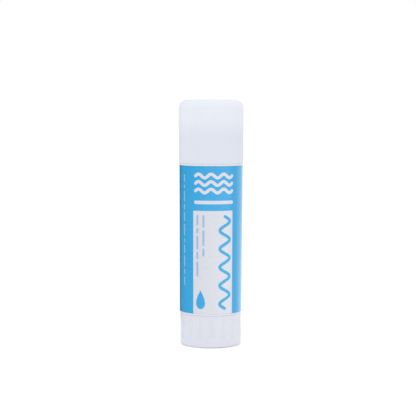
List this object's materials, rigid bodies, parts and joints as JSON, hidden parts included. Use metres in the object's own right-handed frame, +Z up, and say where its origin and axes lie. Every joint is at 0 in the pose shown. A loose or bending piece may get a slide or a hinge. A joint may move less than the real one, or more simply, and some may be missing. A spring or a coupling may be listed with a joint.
{
  "type": "glue stick",
  "caption": "Twist-up glue stick: a fluted knob turns a lead screw that raises the glue in a labelled barrel, under a push-on frosted cap.",
  "frame": {"origin": "middle of the ring that the knob stands on, on the table", "axes": "+Z up along the stick's axis towards the cap; -Y is the front of the label"},
  "size_m": [0.0264, 0.0264, 0.1],
  "materials": {
    "cap_plastic": "frosted, natural polypropylene",
    "barrel_plastic": "satin, white polypropylene",
    "label_film": "gloss, printed film",
    "knob_plastic": "satin, white polypropylene",
    "screw_plastic": "satin, natural polyethylene",
    "carrier_plastic": "satin, natural polyethylene",
    "glue_mass": "waxy, off-white"
  },
  "bodies": {
    "barrel": {"barrel": "barrel_plastic", "label": "label_film"},
    "knob": {"knob": "knob_plastic", "screw": "screw_plastic"},
    "glue_carrier": {"carrier": "carrier_plastic", "glue": "glue_mass"},
    "cap": {"cap": "cap_plastic"}
  },
  "joints": [
    {"name": "knob_turn", "type": "hinge", "parent": "barrel", "child": "knob", "pos_m": [0, 0, 0], "axis": [0, 0, 1], "range_deg": [0, 4320]},
    {"name": "glue_lift", "type": "slide", "parent": "barrel", "child": "glue_carrier", "axis": [0, 0, 1], "range_m": [0, 0.06]},
    {"name": "cap_pull", "type": "slide", "parent": "glue_carrier", "child": "cap", "axis": [0, 0, 1], "range_m": [0, 0.04]}
  ],
  "couplings": [
    {"joint": "glue_lift", "follows": "knob_turn", "m_per_rad": 0.00079577}
  ]
}
